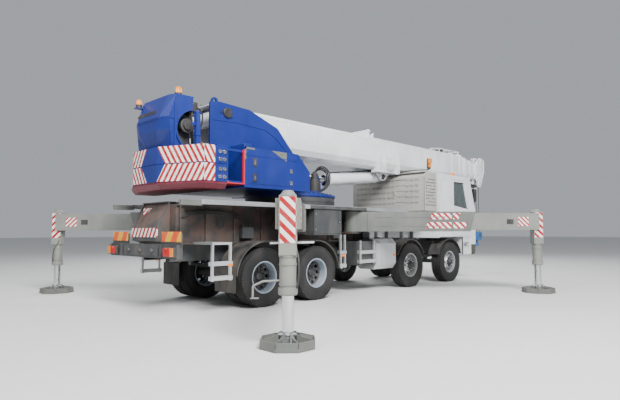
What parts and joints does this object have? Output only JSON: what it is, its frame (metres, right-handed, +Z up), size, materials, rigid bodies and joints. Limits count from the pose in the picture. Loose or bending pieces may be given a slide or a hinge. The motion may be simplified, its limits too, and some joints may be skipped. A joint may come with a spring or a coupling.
{
  "type": "truck-mounted telescopic crane",
  "caption": "Truck crane with a telescoping boom on a slewing superstructure, standing on swing-out outriggers.",
  "frame": {"origin": "centre of the whole crane's outline on the ground, outriggers out and boom level", "axes": "+X towards the front of the truck, +Y to its left, +Z up"},
  "size_m": [12.9629, 8.36, 3.9175],
  "materials": {
    "carrier_grey": "satin",
    "boom_white": "gloss",
    "crane_blue": "gloss",
    "cab_white": "gloss",
    "base_maroon": "satin",
    "tyre_rubber": "matte",
    "bright_aluminium": "brushed",
    "polished_rod": "polished",
    "dark_plastic": "matte",
    "hook_blue": "gloss"
  },
  "bodies": {
    "carrier": {"chassis_frame": "carrier_grey", "subframe_box": "carrier_grey", "deck": "carrier_grey", "slewing_ring": "carrier_grey", "front_axles": "carrier_grey", "rear_axles": "carrier_grey", "mudguards": "dark_plastic", "fuel_tanks": "bright_aluminium", "side_boxes": "carrier_grey", "access_steps": "bright_aluminium", "rear_bumper": "carrier_grey", "drive_line": "carrier_grey", "vented_housing": "carrier_grey", "cab_shell": "cab_white", "cab_seats_and_dash": "dark_plastic", "front_bumper": "dark_plastic"},
    "superstructure": {"turntable": "crane_blue", "counterweight_base": "base_maroon", "counterweight": "crane_blue", "rear_hood": "crane_blue", "winch": "carrier_grey", "side_cabinet_right": "crane_blue", "side_cabinet_left": "crane_blue", "crane_cab": "crane_blue"},
    "knuckle_1_right": {"knuckle_1_right": "carrier_grey"},
    "wheel_front_1_right": {"wheel_front_1_right": "tyre_rubber"},
    "knuckle_1_left": {"knuckle_1_left": "carrier_grey"},
    "wheel_front_1_left": {"wheel_front_1_left": "tyre_rubber"},
    "knuckle_2_right": {"knuckle_2_right": "carrier_grey"},
    "wheel_front_2_right": {"wheel_front_2_right": "tyre_rubber"},
    "knuckle_2_left": {"knuckle_2_left": "carrier_grey"},
    "wheel_front_2_left": {"wheel_front_2_left": "tyre_rubber"},
    "wheel_rear_1_right": {"wheel_rear_1_right": "tyre_rubber"},
    "wheel_rear_1_left": {"wheel_rear_1_left": "tyre_rubber"},
    "wheel_rear_2_right": {"wheel_rear_2_right": "tyre_rubber"},
    "wheel_rear_2_left": {"wheel_rear_2_left": "tyre_rubber"},
    "cab_door_right": {"cab_door_right": "cab_white"},
    "cab_door_left": {"cab_door_left": "cab_white"},
    "crane_cab_door": {"crane_cab_door": "crane_blue"},
    "boom_1": {"boom_section_1": "boom_white"},
    "boom_2": {"boom_section_2": "boom_white"},
    "boom_3": {"boom_section_3": "boom_white"},
    "boom_4": {"boom_section_4": "boom_white"},
    "hook": {"hook_block": "hook_blue"},
    "lift_barrel": {"lift_barrel": "boom_white"},
    "lift_stage": {"lift_stage": "polished_rod"},
    "lift_rod": {"lift_rod": "polished_rod"},
    "arm_front_right": {"swing_arm_front_right": "carrier_grey"},
    "beam_front_right": {"beam_front_right": "carrier_grey"},
    "jack_front_right": {"jack_leg_front_right": "bright_aluminium"},
    "arm_front_left": {"swing_arm_front_left": "carrier_grey"},
    "beam_front_left": {"beam_front_left": "carrier_grey"},
    "jack_front_left": {"jack_leg_front_left": "bright_aluminium"},
    "arm_rear_right": {"swing_arm_rear_right": "carrier_grey"},
    "beam_rear_right": {"beam_rear_right": "carrier_grey"},
    "jack_rear_right": {"jack_leg_rear_right": "bright_aluminium"},
    "arm_rear_left": {"swing_arm_rear_left": "carrier_grey"},
    "beam_rear_left": {"beam_rear_left": "carrier_grey"},
    "jack_rear_left": {"jack_leg_rear_left": "bright_aluminium"}
  },
  "joints": [
    {"name": "steer_1_right", "type": "hinge", "parent": "carrier", "child": "knuckle_1_right", "pos_m": [2.279, -0.955, 0.54], "axis": [0, 0, 1], "range_deg": [-35, 35]},
    {"name": "spin_1_right", "type": "hinge", "parent": "knuckle_1_right", "child": "wheel_front_1_right", "pos_m": [2.279, -1.1, 0.54], "axis": [0, 1, 0], "continuous": true},
    {"name": "steer_1_left", "type": "hinge", "parent": "carrier", "child": "knuckle_1_left", "pos_m": [2.279, 0.955, 0.54], "axis": [0, 0, 1], "range_deg": [-35, 35]},
    {"name": "spin_1_left", "type": "hinge", "parent": "knuckle_1_left", "child": "wheel_front_1_left", "pos_m": [2.279, 1.1, 0.54], "axis": [0, 1, 0], "continuous": true},
    {"name": "steer_2_right", "type": "hinge", "parent": "carrier", "child": "knuckle_2_right", "pos_m": [0.389, -0.955, 0.54], "axis": [0, 0, 1], "range_deg": [-24, 24]},
    {"name": "spin_2_right", "type": "hinge", "parent": "knuckle_2_right", "child": "wheel_front_2_right", "pos_m": [0.389, -1.1, 0.54], "axis": [0, 1, 0], "continuous": true},
    {"name": "steer_2_left", "type": "hinge", "parent": "carrier", "child": "knuckle_2_left", "pos_m": [0.389, 0.955, 0.54], "axis": [0, 0, 1], "range_deg": [-24, 24]},
    {"name": "spin_2_left", "type": "hinge", "parent": "knuckle_2_left", "child": "wheel_front_2_left", "pos_m": [0.389, 1.1, 0.54], "axis": [0, 1, 0], "continuous": true},
    {"name": "spin_rear_1_right", "type": "hinge", "parent": "carrier", "child": "wheel_rear_1_right", "pos_m": [-2.981, -0.93, 0.54], "axis": [0, 1, 0], "continuous": true},
    {"name": "spin_rear_1_left", "type": "hinge", "parent": "carrier", "child": "wheel_rear_1_left", "pos_m": [-2.981, 0.93, 0.54], "axis": [0, 1, 0], "continuous": true},
    {"name": "spin_rear_2_right", "type": "hinge", "parent": "carrier", "child": "wheel_rear_2_right", "pos_m": [-4.341, -0.93, 0.54], "axis": [0, 1, 0], "continuous": true},
    {"name": "spin_rear_2_left", "type": "hinge", "parent": "carrier", "child": "wheel_rear_2_left", "pos_m": [-4.341, 0.93, 0.54], "axis": [0, 1, 0], "continuous": true},
    {"name": "cab_door_right_hinge", "type": "hinge", "parent": "carrier", "child": "cab_door_right", "pos_m": [3.395, -1.267, 1.8], "axis": [0, 0, 1], "range_deg": [0, 70]},
    {"name": "cab_door_left_hinge", "type": "hinge", "parent": "carrier", "child": "cab_door_left", "pos_m": [3.395, 1.267, 1.8], "axis": [0, 0, -1], "range_deg": [0, 70]},
    {"name": "crane_cab_door_hinge", "type": "hinge", "parent": "superstructure", "child": "crane_cab_door", "pos_m": [-1.855, 1.517, 3], "axis": [0, 0, -1], "range_deg": [0, 85]},
    {"name": "slew", "type": "hinge", "parent": "carrier", "child": "superstructure", "pos_m": [-2.591, 0, 2.09], "axis": [0, 0, 1], "continuous": true},
    {"name": "boom_lift", "type": "hinge", "parent": "superstructure", "child": "boom_1", "pos_m": [-4.781, 0, 3.57], "axis": [0, -1, 0], "range_deg": [0, 75]},
    {"name": "tele_2", "type": "slide", "parent": "boom_1", "child": "boom_2", "axis": [1, 0, 0], "range_m": [0, 7.8]},
    {"name": "tele_3", "type": "slide", "parent": "boom_2", "child": "boom_3", "axis": [1, 0, 0], "range_m": [0, 7.8]},
    {"name": "tele_4", "type": "slide", "parent": "boom_3", "child": "boom_4", "axis": [1, 0, 0], "range_m": [0, 7.8]},
    {"name": "hook_swing", "type": "hinge", "parent": "boom_4", "child": "hook", "pos_m": [6.049, 0, 3.01], "axis": [0, -1, 0], "range_deg": [-75, 0]},
    {"name": "lift_barrel_swing", "type": "hinge", "parent": "boom_1", "child": "lift_barrel", "pos_m": [0.609, 0, 2.838], "axis": [0, -1, 0], "range_deg": [0, 16.56]},
    {"name": "lift_stage_slide", "type": "slide", "parent": "lift_barrel", "child": "lift_stage", "axis": [-0.9942, 0, -0.1079], "range_m": [0, 1.7944]},
    {"name": "lift_rod_slide", "type": "slide", "parent": "lift_stage", "child": "lift_rod", "axis": [-0.9942, 0, -0.1079], "range_m": [0, 1.7944]},
    {"name": "arm_front_right_swing", "type": "hinge", "parent": "carrier", "child": "arm_front_right", "pos_m": [-1.541, -0.95, 1.6], "axis": [0, 0, 1], "range_deg": [0, 45]},
    {"name": "beam_front_right_slide", "type": "slide", "parent": "arm_front_right", "child": "beam_front_right", "axis": [0.7071, -0.7071, 0], "range_m": [-1.312, 0]},
    {"name": "jack_front_right_slide", "type": "slide", "parent": "beam_front_right", "child": "jack_front_right", "axis": [0, 0, 1], "range_m": [0, 0.43]},
    {"name": "arm_front_left_swing", "type": "hinge", "parent": "carrier", "child": "arm_front_left", "pos_m": [-1.541, 0.95, 1.6], "axis": [0, 0, 1], "range_deg": [-45, 0]},
    {"name": "beam_front_left_slide", "type": "slide", "parent": "arm_front_left", "child": "beam_front_left", "axis": [0.7071, 0.7071, 0], "range_m": [-1.312, 0]},
    {"name": "jack_front_left_slide", "type": "slide", "parent": "beam_front_left", "child": "jack_front_left", "axis": [0, 0, 1], "range_m": [0, 0.43]},
    {"name": "arm_rear_right_swing", "type": "hinge", "parent": "carrier", "child": "arm_rear_right", "pos_m": [-3.281, -0.95, 1.6], "axis": [0, 0, 1], "range_deg": [-45, 0]},
    {"name": "beam_rear_right_slide", "type": "slide", "parent": "arm_rear_right", "child": "beam_rear_right", "axis": [-0.7071, -0.7071, 0], "range_m": [-1.55, 0]},
    {"name": "jack_rear_right_slide", "type": "slide", "parent": "beam_rear_right", "child": "jack_rear_right", "axis": [0, 0, 1], "range_m": [0, 0.43]},
    {"name": "arm_rear_left_swing", "type": "hinge", "parent": "carrier", "child": "arm_rear_left", "pos_m": [-3.281, 0.95, 1.6], "axis": [0, 0, 1], "range_deg": [0, 45]},
    {"name": "beam_rear_left_slide", "type": "slide", "parent": "arm_rear_left", "child": "beam_rear_left", "axis": [-0.7071, 0.7071, 0], "range_m": [-1.55, 0]},
    {"name": "jack_rear_left_slide", "type": "slide", "parent": "beam_rear_left", "child": "jack_rear_left", "axis": [0, 0, 1], "range_m": [0, 0.43]}
  ],
  "couplings": [
    {"joint": "steer_1_left", "follows": "steer_1_right", "ratio": 1},
    {"joint": "steer_2_right", "follows": "steer_1_right", "ratio": 0.68},
    {"joint": "steer_2_left", "follows": "steer_1_right", "ratio": 0.68},
    {"joint": "tele_3", "follows": "tele_2", "ratio": 1},
    {"joint": "tele_4", "follows": "tele_2", "ratio": 1},
    {"joint": "hook_swing", "follows": "boom_lift", "ratio": -1},
    {"joint": "lift_barrel_swing", "follows": "boom_lift", "ratio": 0.22065},
    {"joint": "lift_stage_slide", "follows": "boom_lift", "m_per_rad": 1.3704},
    {"joint": "lift_rod_slide", "follows": "boom_lift", "m_per_rad": 1.3704},
    {"joint": "arm_front_right_swing", "follows": "beam_front_right_slide", "rad_per_m": -0.59863},
    {"joint": "arm_front_left_swing", "follows": "beam_front_left_slide", "rad_per_m": 0.59863}
  ]
}
